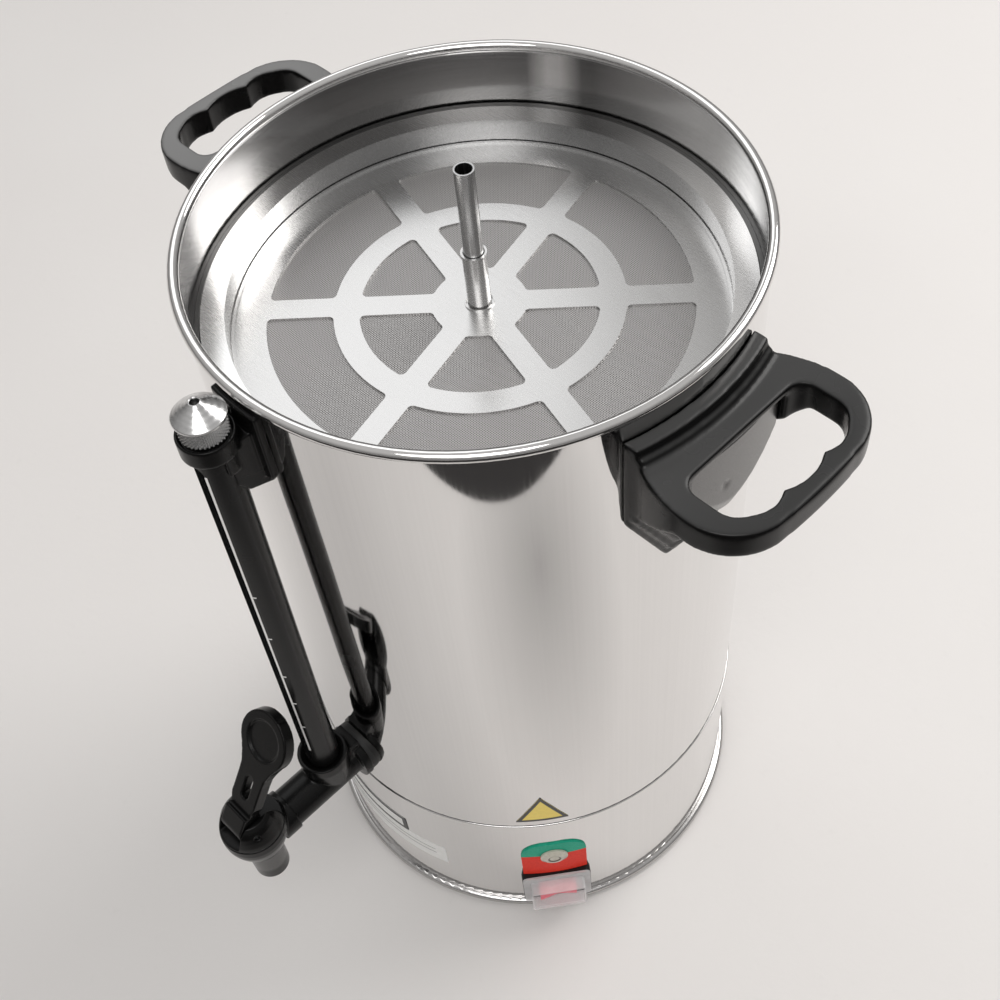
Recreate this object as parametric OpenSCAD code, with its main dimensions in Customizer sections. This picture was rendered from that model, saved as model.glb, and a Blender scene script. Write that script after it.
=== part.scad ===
// Electric coffee urn with a level gauge, a lever tap and a lift-out percolator basket.
// Millimetres. The tank axis is Z, the supporting surface is z = 0.
// The tap and gauge point along -Y, the two handles along +X and -X.

/* [Body] */
// outer diameter of the tank and the base skirt
body_d = 250; // [160:1:400]
// height of the tank rim above the supporting surface
rim_z = 441; // [250:1:600]
// sheet thickness of the tank and skirt
sheet = 0.8; // [0.5:0.1:1.5]
// diameter of the rolled beads at the rim and at the foot
bead_d = 5; // [3:0.5:8]
// height of the seam between the base skirt and the tank
seam_z = 112.5; // [60:0.5:160]

/* [Tap and gauge] */
// height of the tap pipe's axis
tap_z = 145.5; // [130:0.5:200]
// distance of the valve axis from the tank axis
valve_r = 196.5; // [180:0.5:230]
// distance of the gauge axis from the tank axis, at the foot of the tube
gauge_r = 145.8; // [140:0.1:160]
// lean of the gauge toward the tank
gauge_lean = 0.85; // [0:0.05:2]
// lean of the lever toward the gauge when the tap is shut
lever_lean = 34; // [0:1:60]

/* [Switch] */
// direction of the switch around the body
switch_az = -37.7; // [-60:0.1:0]
// height of the switch centre
switch_z = 28.8; // [20:0.1:60]
// height of the indicator lamp
lamp_z = 71.3; // [50:0.1:100]

/* [Basket] */
// height of the top face of the basket flange
flange_z = 406.3; // [350:0.1:440]
// height of the top face of the cover plate
cover_z = 393.6; // [340:0.1:430]
// depth of the basket below its flange
basket_depth = 121; // [60:1:200]
// top of the riser tube
riser_top = 467; // [440:1:500]

/* [Hidden] */
$fn = 96;
body_r = body_d / 2;
inner_r = body_r - sheet;
bead_r = bead_d / 2;
rim_bead_x = body_r - 0.6;
foot_bead_x = body_r + 0.8;
floor_z = 122;
well_r = 27;
well_z = 115;
well_top = well_z + 1;
spigot_z = 118;
foot_h = 5;
plate_z = foot_h;
post_r = 78;
grip_top = 420;
grip_t = 14;
handle_outer = 184;
block_half = 39;
handle_screw_z = 394;
bracket_screw_z = 414;
nozzle_z = 110;
nozzle_r = 10;
valve_body_z = 134;
bonnet_z = 161;
pivot_z = 170;
pivot_r = 201;
cup_top = 170;
bezel_r = 127.3;
guard_r = 8.8;
guard_in = 6.9;
tube_r = 6;
seal_z = 155;
guard_z = 158;
collar_z = 422.5;
collar_top = 432;
gauge_top_r = gauge_r - (collar_z - seal_z) * sin(gauge_lean);
inlet_z = 44;
riser_r = 4.4;
riser_wall = 0.7;
sleeve_in = 4.75;
sleeve_out = 5.3;
basket_floor_z = flange_z - basket_depth;
wall_out = 111.4;
wall_in = 110.7;
spoke_w = 11.6;
spoke_az = 44;
corner_r = 2.5;
black = [0.10, 0.10, 0.11];
steel = [0.80, 0.80, 0.81];
satin = [0.88, 0.88, 0.89];
dark_steel = [0.45, 0.45, 0.47];
rubber = [0.16, 0.16, 0.16];
silicone = [0.85, 0.85, 0.82];
red = [0.80, 0.12, 0.10];
green = [0.15, 0.55, 0.42];
clear = [0.85, 0.90, 0.92, 0.4];
brass = [0.78, 0.62, 0.30];
white = [0.92, 0.91, 0.89];

// which part is drawn

// a ring between two radii and two heights
module ring(r_in, r_out, z0, z1) {
    difference() {
        translate([0, 0, z0]) cylinder(r = r_out, h = z1 - z0);
        translate([0, 0, z0 - 1]) cylinder(r = r_in, h = z1 - z0 + 2);
    }
}

// a round bar along the outward direction of azimuth az, between two radii
module radial_bar(az, z, r, r0, r1) {
    rotate([0, 0, az]) translate([r0, 0, z]) rotate([0, 90, 0]) cylinder(r = r, h = r1 - r0, $fn = 48);
}

// a flat outline drawn in (tangent, height), thickened along the outward direction of azimuth az
module radial_slab(az, r0, r1) {
    rotate([0, 0, az]) translate([r0, 0, 0]) rotate([90, 0, 90]) linear_extrude(height = r1 - r0) children();
}

module round_rect(w, h, r) {
    square([w - 2 * r, h], center = true);
    square([w, h - 2 * r], center = true);
    for (sx = [-1, 1])
        for (sy = [-1, 1])
            translate([sx * (w / 2 - r), sy * (h / 2 - r)]) circle(r = r, $fn = 32);
}

/* ---- body ---- */

module tank() {
    color(steel) difference() {
        rotate_extrude() union() {
            translate([inner_r, seam_z + 0.2]) square([sheet, rim_z - bead_r - seam_z - 0.2]);
            translate([rim_bead_x, rim_z - bead_r]) circle(r = bead_r, $fn = 48);
        }
        radial_bar(-90, tap_z, 9.2, body_r - 12, body_r + 6);
        radial_bar(-90, bracket_screw_z, 2.2, body_r - 12, body_r + 6);
        for (a = [-14, 14, 166, 194])
            radial_bar(a, handle_screw_z, 2.7, body_r - 12, body_r + 6);
    }
}

// the pressed floor, with a round well in the middle and its edge turned down against the wall
module tank_floor() {
    color(steel) rotate_extrude() union() {
        translate([well_r - 1, floor_z]) square([inner_r - well_r + 1, 1]);
        translate([inner_r - 1, floor_z - 3.4]) square([1, 4.4]);
        translate([well_r - 1, well_z]) square([1, floor_z + 1 - well_z]);
        translate([0, well_z]) square([well_r, 1]);
    }
}

module base_skirt() {
    color(steel) difference() {
        rotate_extrude() union() {
            translate([inner_r, 4]) square([sheet, seam_z - 4]);
            translate([foot_bead_x, 4]) circle(r = bead_r, $fn = 48);
            translate([inner_r - 1.2, seam_z - 6]) square([1.3, 6]);
            translate([inner_r - 1.2, seam_z - 6]) square([1.1, spigot_z - seam_z + 6]);
        }
        radial_slab(switch_az, body_r - 12, body_r + 12) translate([0, switch_z])
            square([29, 22], center = true);
        radial_bar(switch_az, lamp_z, 5.2, body_r - 12, body_r + 12);
        radial_slab(90, body_r - 12, body_r + 12) translate([0, inlet_z])
            square([28.4, 21.4], center = true);
        for (s = [-1, 1])
            rotate([0, 0, 90]) translate([body_r - 12, s * 20, inlet_z]) rotate([0, 90, 0])
                cylinder(r = 1.8, h = 24, $fn = 32);
    }
}

module base_plate() {
    color(dark_steel) difference() {
        union() {
            ring(20, inner_r - 1, plate_z, plate_z + 1);
            ring(inner_r - 2, inner_r - 1, plate_z, plate_z + 9);
            ring(19, 20.5, plate_z, plate_z + 4);
        }
        for (k = [0:2])
            rotate([0, 0, 30 + 120 * k]) translate([post_r, 0, 0]) cylinder(r = 2.2, h = 20, $fn = 32);
        for (k = [0:3])
            rotate([0, 0, 45 + 90 * k]) translate([100, 0, 0]) cylinder(r = 3, h = 20, $fn = 32);
        for (k = [0:11])
            rotate([0, 0, 30 * k]) translate([46, -2, 0]) cube([18, 4, 20]);
    }
}

module foot(k) {
    color(rubber) rotate([0, 0, 45 + 90 * k]) translate([100, 0, 0]) {
        cylinder(r = 8, h = foot_h, $fn = 48);
        cylinder(r = 2.9, h = foot_h + 2.5, $fn = 48);
        translate([0, 0, plate_z + 1.1]) cylinder(r = 4, h = 1.4, $fn = 48);
    }
}

module support_post(k) {
    color(steel) rotate([0, 0, 30 + 120 * k]) translate([post_r, 0, 0]) difference() {
        translate([0, 0, plate_z + 1]) cylinder(r = 4, h = floor_z - plate_z - 1, $fn = 48);
        translate([0, 0, plate_z]) cylinder(r = 2.05, h = 14, $fn = 32);
    }
}

module base_screws() {
    color(steel) for (k = [0:2])
        rotate([0, 0, 30 + 120 * k]) translate([post_r, 0, 0]) difference() {
            union() {
                translate([0, 0, plate_z - 2.4]) cylinder(r = 4, h = 2.4, $fn = 48);
                translate([0, 0, plate_z - 0.1]) cylinder(r = 2, h = 12, $fn = 32);
            }
            translate([-3, -0.5, plate_z - 3]) cube([6, 1, 1.6]);
            translate([-0.5, -3, plate_z - 3]) cube([1, 6, 1.6]);
        }
}

/* ---- handles, drawn for +X ---- */

module grip_outline() {
    intersection() {
        translate([118, -60]) square([handle_outer - 28 - 118, 120]);
        translate([handle_outer - 28, -6.3]) circle(r = 53.3);
        translate([handle_outer - 28, 6.3]) circle(r = 53.3);
    }
    for (s = [-1, 1])
        translate([handle_outer - 28, s * 20]) circle(r = 27);
    translate([handle_outer - 29, -20]) square([28, 40]);
    intersection() {
        translate([handle_outer - 200, 0]) circle(r = 200, $fn = 180);
        translate([handle_outer - 29, -20]) square([40, 40]);
    }
}

module finger_slot() {
    translate([145, -28]) square([27, 56]);
    translate([152, -35]) square([10, 70]);
    intersection() {
        translate([152.4, 0]) circle(r = 24.2);
        translate([145, -30]) square([60, 60]);
    }
    for (s = [-1, 1]) {
        translate([152, s * 28]) circle(r = 7, $fn = 48);
        translate([162, s * 24]) circle(r = 11, $fn = 48);
        translate([161.4, s * 19.2]) circle(r = 14, $fn = 64);
    }
}

// one layer of the mount block, out to radius r, from its top down to a narrowed foot
module block_layer(r, top, shoulder, bottom) {
    intersection() {
        ring(body_r, r, 330, 440);
        radial_slab(0, 90, 160) polygon([[-block_half, top], [block_half, top],
            [block_half, shoulder], [20, bottom], [-20, bottom], [-block_half, shoulder]]);
    }
}

module handle() {
    difference() {
        union() {
            block_layer(129, 426.5, 376, 341);
            block_layer(132.2, 426.5, 382, 348);
            block_layer(134.8, 422.5, 388, 356);
            difference() {
                union() {
                    translate([0, 0, grip_top - grip_t]) linear_extrude(height = grip_t) grip_outline();
                    intersection() {
                        translate([0, 0, 380]) linear_extrude(height = 30) grip_outline();
                        translate([0, 60, 0]) rotate([90, 0, 0]) linear_extrude(height = 120)
                            polygon([[110, 387], [129, 387], [154, 408], [154, 412], [110, 412]]);
                    }
                }
                cylinder(r = body_r, h = 500, $fn = 180);
            }
        }
        translate([0, 0, 300]) linear_extrude(height = 200) finger_slot();
        difference() {
            translate([128, -28, 300]) cube([20, 56, grip_top - 4 - 300]);
            translate([0, 0, 290]) cylinder(r = 134.8, h = 200, $fn = 180);
        }
        for (a = [-14, 14])
            radial_bar(a, handle_screw_z, 2.1, body_r - 2, body_r + 9);
    }
}

module handle_screws() {
    for (a = [-14, 14]) {
        radial_bar(a, handle_screw_z, 4.5, inner_r - 3.1, inner_r - 0.4);
        radial_bar(a, handle_screw_z, 2, inner_r - 1, body_r + 8.5);
    }
}

module handle_left() { color(black) rotate([0, 0, 180]) handle(); }
module handle_right() { color(black) handle(); }
module handle_screws_left() { color(steel) rotate([0, 0, 180]) handle_screws(); }
module handle_screws_right() { color(steel) handle_screws(); }

/* ---- level gauge ---- */

// places parts drawn round the Z axis on the gauge's own axis
module on_gauge() {
    translate([0, -gauge_r, seal_z]) rotate([-gauge_lean, 0, 0]) translate([0, 0, -seal_z]) children();
}

module gauge_bracket() {
    color(black) difference() {
        union() {
            on_gauge() translate([0, 0, collar_z]) cylinder(r = 12, h = collar_top - collar_z);
            on_gauge() translate([0, 0, 412]) cylinder(r = 10.5, h = 13.5);
            translate([-9, 0, 0]) rotate([90, 0, 90]) linear_extrude(height = 18)
                polygon([[-gauge_top_r, 425.5], [-gauge_top_r, 406], [-136, 397], [-118, 390],
                    [-118, 425.5]]);
            intersection() {
                ring(body_r, 128.6, 380, 440);
                radial_slab(-90, 90, 160) polygon([[-13.5, 435.4], [13.5, 435.4], [13.5, 399],
                    [-13.5, 399]]);
            }
        }
        cylinder(r = body_r, h = 500, $fn = 180);
        on_gauge() {
            translate([0, 0, 380]) cylinder(r = guard_r + 0.1, h = 46);
            translate([0, 0, 380]) cylinder(r = tube_r + 0.4, h = 60);
            translate([0, 0, collar_top - 3]) cylinder(r = 10.6, h = 5);
            translate([-12, -13, 380]) cube([24, 12, 42.5]);
        }
        radial_bar(-90, bracket_screw_z, 1.6, body_r - 2, body_r + 7.6);
    }
}

module bracket_screw() {
    color(steel) union() {
        radial_bar(-90, bracket_screw_z, 3.8, inner_r - 1.7, inner_r - 0.1);
        radial_bar(-90, bracket_screw_z, 1.5, inner_r - 1, body_r + 7.5);
    }
}

module gauge_cap() {
    color(steel) on_gauge() difference() {
        rotate_extrude() polygon([[0, 448.6], [1.9, 448.5], [10.9, 441.6], [10.9, 440.6],
            [10.2, 439.9], [10.2, collar_top - 2.4], [0, collar_top - 2.4]]);
        translate([0, 0, 420]) cylinder(r = 1.5, h = 40, $fn = 32);
        translate([0, 0, 420]) cylinder(r = 7, h = 16, $fn = 48);
        for (k = [0:23])
            rotate([0, 0, 15 * k]) translate([10.45, 0, 420]) cylinder(r = 0.5, h = 19.6, $fn = 16);
    }
}

module gauge_washer() {
    color(rubber) on_gauge() ring(6.6, 9.8, collar_top - 3, collar_top - 2.4);
}

module gauge_tube() {
    color(clear) on_gauge() ring(tube_r - 1.5, tube_r, guard_z, 429.5);
}

module gauge_guard() {
    color(black) on_gauge() difference() {
        ring(guard_in, guard_r, guard_z, 425.8);
        translate([-3.3, -12, 178]) cube([6.6, 12, 236]);
        translate([0, 0, 178]) rotate([90, 0, 0]) cylinder(r = 3.3, h = 12, $fn = 48);
        translate([0, 0, 414]) rotate([90, 0, 0]) cylinder(r = 3.3, h = 12, $fn = 48);
    }
}

module gauge_seal() {
    color(silicone) on_gauge() ring(4.5, guard_r, seal_z, guard_z);
}

/* ---- tap ---- */

module tap_tee() {
    color(black) difference() {
        union() {
            radial_bar(-90, tap_z, 11.3, 131, 184);
            radial_bar(-90, tap_z, 9, 110, 132);
            radial_bar(-90, tap_z, 15.8, 127.2, 132);
            translate([0, -gauge_r, tap_z]) cylinder(r1 = 11.3, r2 = 13.5, h = 18, $fn = 64);
            translate([0, -gauge_r, tap_z + 18]) cylinder(r = 13.5, h = cup_top - tap_z - 18, $fn = 64);
            translate([-8, -gauge_r, tap_z]) cube([16, gauge_r - 127.6, 18]);
        }
        radial_bar(-90, tap_z, 6, 100, 200);
        on_gauge() translate([0, 0, seal_z]) cylinder(r = guard_r + 0.1, h = 30, $fn = 64);
        translate([0, -gauge_r, tap_z]) cylinder(r = 4.2, h = 30, $fn = 48);
        translate([0, -gauge_r, cup_top - 2]) cylinder(r1 = guard_r + 0.1, r2 = 11.6, h = 2.01, $fn = 64);
    }
}

module tap_washer() {
    color(rubber) difference() {
        radial_bar(-90, tap_z, 15, 118, 127.2);
        radial_bar(-90, tap_z, 9.1, 100, 140);
        cylinder(r = body_r, h = 300, $fn = 180);
    }
}

module tap_inner_washer() {
    color(silicone) difference() {
        intersection() {
            radial_bar(-90, tap_z, 14.5, 121, 130);
            cylinder(r = inner_r, h = 300, $fn = 180);
        }
        radial_bar(-90, tap_z, 9.1, 100, 140);
    }
}

module tap_nut() {
    color(steel) difference() {
        rotate([0, 0, -90]) translate([114, 0, tap_z]) rotate([0, 90, 0])
            linear_extrude(height = 7) circle(r = 15.6, $fn = 6);
        radial_bar(-90, tap_z, 9.05, 100, 140);
    }
}

module tap_body() {
    color(black) difference() {
        union() {
            translate([0, -valve_r, 0]) rotate_extrude() polygon([[0, valve_body_z], [10.1, valve_body_z],
                [11.8, 137], [13.5, 141], [15.2, 145], [16.5, 149], [17.3, 152.5], [17.6, 156],
                [17.4, bonnet_z], [0, bonnet_z]]);
            radial_bar(-90, tap_z, 12.6, 176, 186.2);
        }
        translate([0, -valve_r, valve_body_z - 1]) cylinder(r = 8.6, h = 7, $fn = 64);
        translate([0, -valve_r, 139.4]) cylinder(r = 10, h = 40, $fn = 64);
        radial_bar(-90, tap_z, 11.4, 170, 184.6);
        radial_bar(-90, tap_z, 6, 170, 198);
        translate([0, -valve_r, bonnet_z - 5]) cylinder(r = 12.1, h = 10, $fn = 64);
    }
}

module tap_nozzle() {
    color(steel) translate([0, -valve_r, 0]) difference() {
        union() {
            translate([0, 0, nozzle_z]) cylinder(r1 = 9.6, r2 = 10, h = valve_body_z - nozzle_z, $fn = 64);
            translate([0, 0, valve_body_z - 0.5]) cylinder(r = 8.5, h = 4, $fn = 64);
        }
        translate([0, 0, nozzle_z - 1]) cylinder(r = 6, h = 40, $fn = 64);
        translate([0, 0, nozzle_z - 1]) cylinder(r1 = 9, r2 = 6, h = 8, $fn = 64);
    }
}

module tap_bonnet() {
    color(black) translate([0, -valve_r, 0]) difference() {
        union() {
            translate([0, 0, bonnet_z - 5]) cylinder(r = 12, h = 6, $fn = 64);
            rotate_extrude() polygon([[0, bonnet_z], [17.2, bonnet_z], [16.7, 164], [15.6, 167.5],
                [14.4, 171], [12.8, 174], [11, 176], [0, 176]]);
        }
        translate([-8.2, -20, 162.6]) cube([16.4, 40, 20]);
        translate([0, 0, 150]) cylinder(r = 2.7, h = 30, $fn = 48);
        translate([0, 0, 150]) cylinder(r = 9.2, h = 8.4, $fn = 64);
        translate([-20, valve_r - pivot_r, pivot_z]) rotate([0, 90, 0]) cylinder(r = 1.52, h = 40, $fn = 32);
    }
}

module tap_pin() {
    color(steel) translate([-12.4, -pivot_r, pivot_z]) rotate([0, 90, 0])
        cylinder(r = 1.5, h = 24.8, $fn = 32);
}

// the lever, drawn upright with its pivot at the origin, its broad face toward -Y
module lever_upright() {
    difference() {
        union() {
            translate([-8, 0, 0]) rotate([0, 90, 0]) cylinder(r = 7, h = 16, $fn = 64);
            translate([-8, -7, 0]) cube([16, 11, 10]);
            translate([0, 2, 0]) rotate([90, 0, 0]) linear_extrude(height = 6.4)
                polygon([[-8, 8], [8, 8], [8, 13], [9, 16], [9, 32], [9.4, 37], [11, 42], [13, 46.4],
                    [-13, 46.4], [-11, 42], [-9.4, 37], [-9, 32], [-9, 16], [-8, 13]]);
            translate([0, 2, 56.8]) rotate([90, 0, 0]) cylinder(r = 16.4, h = 6.4);
        }
        translate([-2.3, -10, 20.5]) cube([4.6, 20, 10]);
        translate([0, 10, 20.5]) rotate([90, 0, 0]) cylinder(r = 2.3, h = 20, $fn = 32);
        translate([0, 10, 30.5]) rotate([90, 0, 0]) cylinder(r = 2.3, h = 20, $fn = 32);
        translate([0, -2.9, 56.8]) rotate([90, 0, 0]) cylinder(r1 = 10.6, r2 = 12.6, h = 4);
        translate([-12, 0, 0]) rotate([0, 90, 0]) cylinder(r = 1.58, h = 24, $fn = 32);
    }
}

module tap_lever() {
    color(black) translate([0, -pivot_r, pivot_z]) rotate([-lever_lean, 0, 0]) lever_upright();
}

module tap_stem() {
    color(steel) translate([0, -valve_r, 0]) union() {
        translate([0, 0, 141]) cylinder(r = 2.5, h = 18.6, $fn = 48);
        translate([0, 0, 141]) cylinder(r = 5, h = 1.5, $fn = 48);
    }
}

module tap_seat_cup() {
    color(silicone) translate([0, -valve_r, 0]) difference() {
        union() {
            translate([0, 0, 137.5]) cylinder(r = 7.6, h = 5.6, $fn = 64);
            translate([0, 0, 143]) cylinder(r = 6.4, h = 5, $fn = 64);
        }
        translate([0, 0, 141]) cylinder(r = 2.5, h = 22, $fn = 48);
        translate([0, 0, 141]) cylinder(r = 5, h = 1.5, $fn = 48);
    }
}

/* ---- switch and indicator, drawn along +X then turned to switch_az ---- */

module switch_bezel() {
    color(black) difference() {
        radial_slab(switch_az, 110, bezel_r) translate([0, switch_z]) round_rect(41, 34, 3);
        cylinder(r = body_r, h = 200, $fn = 180);
        radial_slab(switch_az, 100, 140) translate([0, switch_z]) square([28.4, 21.4], center = true);
    }
}

module switch_boot() {
    color(clear) difference() {
        union() {
            radial_slab(switch_az, bezel_r, bezel_r + 1.2) translate([0, switch_z]) round_rect(40.4, 33.4, 3);
            radial_slab(switch_az, bezel_r, 136.2) translate([0, switch_z]) round_rect(32.4, 23.4, 1.8);
        }
        radial_slab(switch_az, 120, 135) translate([0, switch_z]) round_rect(28.6, 20.6, 1.4);
    }
}

module switch_rocker() {
    color(red) rotate([0, 0, switch_az]) translate([0, 0, switch_z]) difference() {
        translate([0, 0, -7.6]) linear_extrude(height = 15.2)
            polygon([[122, -9], [129.4, -11], [132.4, -11], [129.6, 0], [131, 11], [128, 11.4],
                [122, 9]]);
        translate([124.5, 0, -20]) cylinder(r = 1.55, h = 40, $fn = 32);
    }
}

module switch_housing() {
    color(black) rotate([0, 0, switch_az]) translate([0, 0, switch_z]) difference() {
        union() {
            translate([100, -13.9, -10.4]) cube([bezel_r - 100.2, 27.8, 20.8]);
            for (y = [-7, 7])
                for (z = [-4, 4])
                    translate([92, y - 0.4, z - 2.4]) cube([9, 0.8, 4.8]);
        }
        translate([118.5, -12.4, -8.1]) cube([20, 24.8, 16.2]);
        translate([124.5, 0, -20]) cylinder(r = 1.5, h = 40, $fn = 32);
    }
}

module switch_pin() {
    color(steel) rotate([0, 0, switch_az]) translate([124.5, 0, switch_z - 9.6])
        cylinder(r = 1.5, h = 19.2, $fn = 32);
}

module indicator_plate() {
    color(green) difference() {
        intersection() {
            ring(body_r, body_r + 1, 40, 100);
            radial_slab(switch_az, 100, 140) union() {
                translate([-19, 46.6]) square([38, 26]);
                translate([-5, 46.6]) square([10, 40.2]);
                for (s = [-1, 1])
                    translate([s * 4.6, 72.4]) circle(r = 14.4, $fn = 64);
            }
        }
        radial_bar(switch_az, lamp_z, 5.2, 110, 140);
    }
}

module indicator_lens() {
    color(clear) rotate([0, 0, switch_az]) translate([0, 0, lamp_z]) rotate([0, 90, 0]) difference() {
        union() {
            translate([0, 0, 126.1]) cylinder(r = 8, h = 1, $fn = 64);
            translate([0, 0, 127.1]) cylinder(r1 = 8, r2 = 5.2, h = 1.4, $fn = 64);
        }
        translate([0, 0, 120]) cylinder(r = 4, h = 7.4, $fn = 48);
        translate([0, 0, 128]) cylinder(r1 = 2.6, r2 = 3.7, h = 0.6, $fn = 48);
    }
}

module indicator_lamp() {
    color(black) rotate([0, 0, switch_az]) translate([0, 0, lamp_z]) rotate([0, 90, 0]) union() {
        translate([0, 0, 106]) cylinder(r = 5, h = 20.1, $fn = 48);
        translate([0, 0, 120]) cylinder(r = 8, h = 3.2, $fn = 48);
        translate([0, 0, 126.1]) cylinder(r = 3.8, h = 1.2, $fn = 48);
        translate([0, 0, 126]) cylinder(r = 3.8, h = 1.2, $fn = 48);
    }
}

/* ---- percolator parts ---- */

module riser_tube() {
    color(satin) ring(riser_r - riser_wall, riser_r, well_top + 6, riser_top);
}

module riser_collar() {
    color(satin) union() {
        ring(riser_r, 9, basket_floor_z - 2, basket_floor_z);
        ring(riser_r, 6.6, basket_floor_z - 8, basket_floor_z - 2);
    }
}

module pump_bell() {
    color(satin) difference() {
        union() {
            translate([0, 0, well_top]) cylinder(r1 = 22, r2 = 20, h = 5);
            translate([0, 0, well_top + 5]) cylinder(r1 = 20, r2 = 7, h = 5);
            translate([0, 0, well_top + 10]) cylinder(r = 7, h = 6);
        }
        translate([0, 0, well_top - 1]) cylinder(r = 18.6, h = 5);
        translate([0, 0, well_top + 3.99]) cylinder(r1 = 18.6, r2 = riser_r, h = 4.4);
        translate([0, 0, well_top + 6]) cylinder(r = riser_r, h = 20);
        for (k = [0:5])
            rotate([0, 0, 60 * k]) translate([14, -2, well_top - 1]) cube([10, 4, 2.6]);
    }
}

module pump_valve() {
    color(satin) difference() {
        translate([0, 0, well_top + 0.6]) cylinder(r = 12, h = 0.8);
        for (k = [0:3])
            rotate([0, 0, 90 * k]) translate([8, 0, 0]) cylinder(r = 1.2, h = 200, $fn = 24);
    }
}

module basket() {
    color(satin) difference() {
        union() {
            ring(wall_in, 121.4, flange_z - 0.8, flange_z);
            ring(wall_in, wall_out, basket_floor_z, flange_z);
            ring(riser_r + 0.5, wall_out, basket_floor_z, basket_floor_z + 0.8);
            ring(riser_r + 0.5, riser_r + 1.3, basket_floor_z, basket_floor_z + 40);
            ring(108.6, wall_in + 0.2, cover_z - 3.2, cover_z - 1);
        }
        for (ringn = [2:6])
            for (k = [0:6 * ringn - 1])
                rotate([0, 0, 360 * k / (6 * ringn)]) translate([16.5 * ringn - 6, 0, 0])
                    translate([0, 0, basket_floor_z - 1]) cylinder(r = 1.6, h = 3, $fn = 24);
    }
}

// the stretch between two radii and two spokes, each edge side away from its spoke's middle
module between_spokes(r0, r1, side) {
    difference() {
        intersection() {
            difference() {
                circle(r = r1, $fn = 180);
                circle(r = r0, $fn = 120);
            }
            polygon([[0, 0], [200 * cos(30), -200 * sin(30)], [200 * cos(30), 200 * sin(30)]]);
        }
        for (s = [-1, 1])
            rotate([0, 0, s * 30]) translate([0, -side]) square([200, 2 * side]);
    }
}

// one opening between two spokes, from radius r0 to r1, with round corners
module window(r0, r1, half_w) {
    side = half_w + corner_r;
    between_spokes(r0 + corner_r, r1 - corner_r, half_w);
    between_spokes(r0, r1, side);
    for (r = [r0 + corner_r, r1 - corner_r])
        for (s = [-1, 1])
            rotate([0, 0, s * 30]) translate([sqrt(r * r - side * side), -s * side])
                circle(r = corner_r, $fn = 32);
}

module cover_frame() {
    color(satin) difference() {
        union() {
            ring(sleeve_in, 110.2, cover_z - 1, cover_z);
            ring(109, 110.2, cover_z - 1, cover_z + 1);
            ring(sleeve_in, sleeve_out, cover_z - 1, 423);
            ring(sleeve_in, sleeve_out + 0.5, 422, 423);
            ring(sleeve_out + 0.8, sleeve_out + 1.5, cover_z - 1, cover_z + 0.6);
        }
        ring(sleeve_out, sleeve_out + 0.8, cover_z - 0.6, cover_z + 1);
        for (k = [0:5])
            rotate([0, 0, spoke_az + 30 + 60 * k]) translate([0, 0, cover_z - 2])
                linear_extrude(height = 4) union() {
                window(65.1, 95, spoke_w / 2);
                window(21.3, 53.6, spoke_w / 2);
            }
    }
}

module cover_mesh() {
    color(dark_steel) ring(6.4, 104, cover_z - 1.5, cover_z - 1);
}

/* ---- heater and wiring space ---- */

module heater_plate() {
    color([0.75, 0.75, 0.76]) ring(well_r + 0.4, 56, floor_z - 3, floor_z);
}

module heating_element() {
    color(dark_steel) union() {
        rotate_extrude() translate([42, floor_z - 7]) circle(r = 4, $fn = 32);
        for (s = [-1, 1])
            rotate([0, 0, 90 + s * 12]) translate([42, 0, floor_z - 22]) cylinder(r = 2.4, h = 14, $fn = 32);
    }
}

module thermostat() {
    color(dark_steel) translate([-70, -10, 0]) union() {
        translate([0, 0, floor_z - 4]) cylinder(r = 9, h = 4, $fn = 48);
        translate([0, 0, floor_z - 12]) cylinder(r = 7.5, h = 8.1, $fn = 48);
        for (s = [-1, 1])
            translate([s * 5 - 2.4, -0.4, floor_z - 19]) cube([4.8, 0.8, 8]);
    }
}

module thermal_cutout() {
    color(dark_steel) translate([70, -14, 0]) union() {
        translate([0, 0, floor_z - 3]) cylinder(r = 8, h = 3, $fn = 48);
        translate([0, 0, floor_z - 11]) cylinder(r = 6.5, h = 8.1, $fn = 48);
        for (s = [-1, 1])
            translate([s * 4.4 - 2.4, -0.4, floor_z - 18]) cube([4.8, 0.8, 8]);
    }
}

module terminal_block() {
    color(white) difference() {
        translate([-24, 60, plate_z + 1]) cube([48, 16, 15]);
        for (k = [0:2])
            translate([-16 + 16 * k, 68, plate_z + 8]) cylinder(r = 2.4, h = 20, $fn = 32);
        for (k = [0:2])
            translate([-16 + 16 * k, 50, plate_z + 9]) rotate([-90, 0, 0]) cylinder(r = 2, h = 40, $fn = 32);
    }
}

module power_inlet() {
    color(black) difference() {
        union() {
            radial_slab(90, 100, body_r + 3) translate([0, inlet_z]) round_rect(28, 21, 3);
            difference() {
                radial_slab(90, 110, body_r + 3) translate([0, inlet_z]) round_rect(50, 24, 4);
                cylinder(r = body_r, h = 200, $fn = 180);
            }
        }
        radial_slab(90, 108, 140) translate([0, inlet_z]) round_rect(25, 17, 2);
        for (s = [-1, 1])
            rotate([0, 0, 90]) translate([100, s * 20, inlet_z]) rotate([0, 90, 0])
                cylinder(r = 1.7, h = 40, $fn = 32);
        for (p = [[0, 2.5], [-7, -2.5], [7, -2.5]])
            radial_slab(90, 90, 110) translate([p[0], inlet_z + p[1]]) square([2.2, 4.2], center = true);
    }
}

module inlet_pins() {
    color(brass) for (p = [[0, 2.5], [-7, -2.5], [7, -2.5]])
        radial_slab(90, 92, 122) translate([p[0], inlet_z + p[1]]) square([2, 4], center = true);
}

/* ---- labels ---- */

module rating_label() {
    color(white) rotate([0, 0, -112]) rotate_extrude(angle = 44.2, $fn = 180)
        translate([body_r, 41]) square([0.2, 21.8]);
}

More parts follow.
